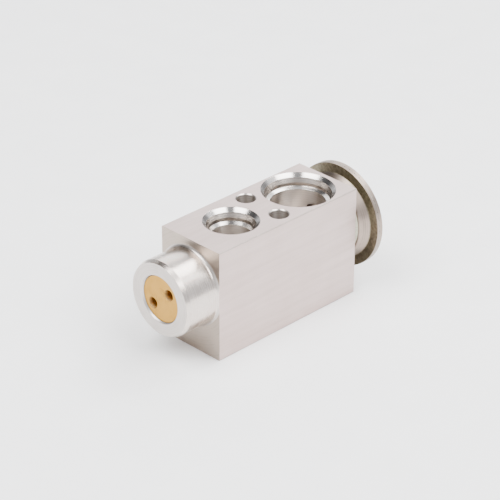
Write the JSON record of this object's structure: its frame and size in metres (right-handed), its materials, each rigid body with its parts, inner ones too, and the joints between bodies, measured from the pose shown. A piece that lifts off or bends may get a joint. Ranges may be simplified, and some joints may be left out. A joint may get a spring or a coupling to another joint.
{
  "type": "expansion valve",
  "caption": "Block-type thermostatic expansion valve with O-ring ports on both faces, a diaphragm power head at one end and an adjusting plug in a boss at the other.",
  "frame": {"origin": "on the condenser-side port face, midway between the two bolt holes", "axes": "+X along the valve's axis towards the power head, +Z square to the port faces towards the evaporator side, +Y across the block"},
  "size_m": [0.0868, 0.0358, 0.0399],
  "materials": {
    "body_aluminium": "extruded bar, machined, uncoated",
    "adjuster_brass": "turned brass",
    "seal_rubber": "moulded rubber, matt",
    "spring_steel": "bright drawn stainless",
    "stem_steel": "turned and ground stainless",
    "ball_steel": "polished ball",
    "washer_plastic": "white PTFE",
    "gasket_fibre": "compressed fibre sheet, punched",
    "rod_aluminium": "turned",
    "pad_brass": "turned",
    "shell_steel": "pressed stainless sheet, satin",
    "diaphragm_steel": "rolled stainless foil",
    "plug_steel": "turned steel, welded in"
  },
  "bodies": {
    "valve_body": {"valve_block": "body_aluminium", "rod_o_ring": "seal_rubber", "seal_washer": "washer_plastic", "push_nut": "spring_steel", "head_gasket": "gasket_fibre", "lower_shell": "shell_steel", "diaphragm": "diaphragm_steel", "upper_shell": "shell_steel", "charge_plug": "plug_steel"},
    "stem": {"ball_holder": "stem_steel", "damping_spring": "spring_steel", "valve_ball": "ball_steel", "push_rod": "stem_steel", "sensing_rod": "rod_aluminium", "diaphragm_pad": "pad_brass"},
    "adjuster_seal": {"plug_o_ring": "seal_rubber", "valve_spring": "spring_steel"},
    "adjuster": {"adjusting_plug": "adjuster_brass"}
  },
  "joints": [
    {"name": "stem_slide", "type": "slide", "parent": "valve_body", "child": "stem", "axis": [1, 0, 0], "range_m": [-0.0008, 0], "stiffness_N_per_m": 9400, "deforming": ["valve_spring", "diaphragm"]},
    {"name": "adjuster_advance", "type": "slide", "parent": "valve_body", "child": "adjuster_seal", "axis": [1, 0, 0], "range_m": [-0.001, 0.001], "deforming": ["valve_spring"]},
    {"name": "adjuster_turn", "type": "hinge", "parent": "adjuster_seal", "child": "adjuster", "pos_m": [-0.0437, 0, 0.0221], "axis": [1, 0, 0], "range_deg": [-360, 360]}
  ],
  "couplings": [
    {"joint": "adjuster_advance", "follows": "adjuster_turn", "m_per_rad": 0.00015915}
  ]
}
